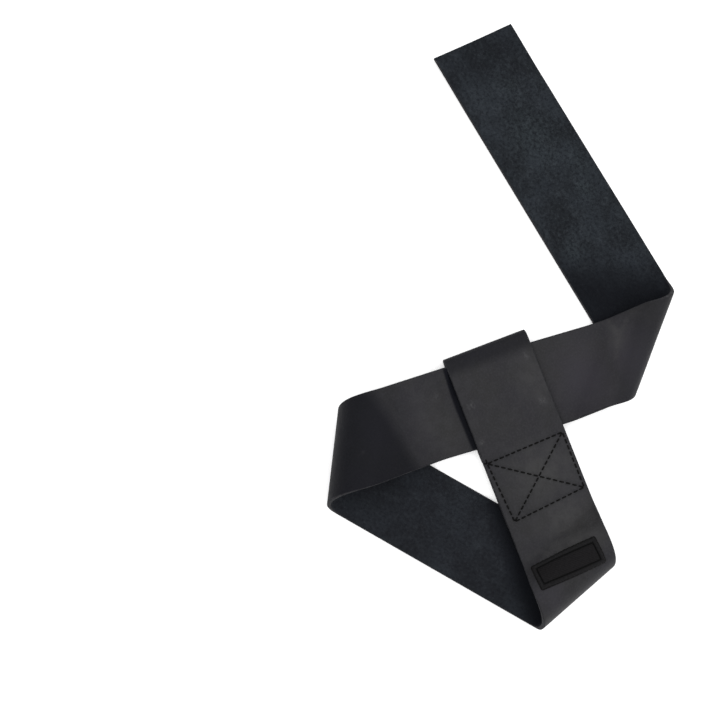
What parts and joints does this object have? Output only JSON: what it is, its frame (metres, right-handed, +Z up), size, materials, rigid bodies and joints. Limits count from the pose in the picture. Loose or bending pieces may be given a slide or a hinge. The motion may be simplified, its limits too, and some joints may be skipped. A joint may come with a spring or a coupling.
{
  "type": "weightlifting strap",
  "caption": "Flat black leather lifting strap with a sewn eye; the strip runs through its own eye to close a wrist loop and leave a long tail.",
  "frame": {"origin": "centre of the strap's box on the surface it rests on", "axes": "+Z up from that surface, +Y along the tail's lengthwise side of the layout, +X to the right as seen with the tail pointing away"},
  "size_m": [0.1503, 0.2657, 0.0223],
  "materials": {
    "leather": "satin grain outside, napped suede inside",
    "label": "matt woven"
  },
  "bodies": {
    "root": {"leather_strap": "leather", "label_patch": "label"}
  },
  "joints": []
}
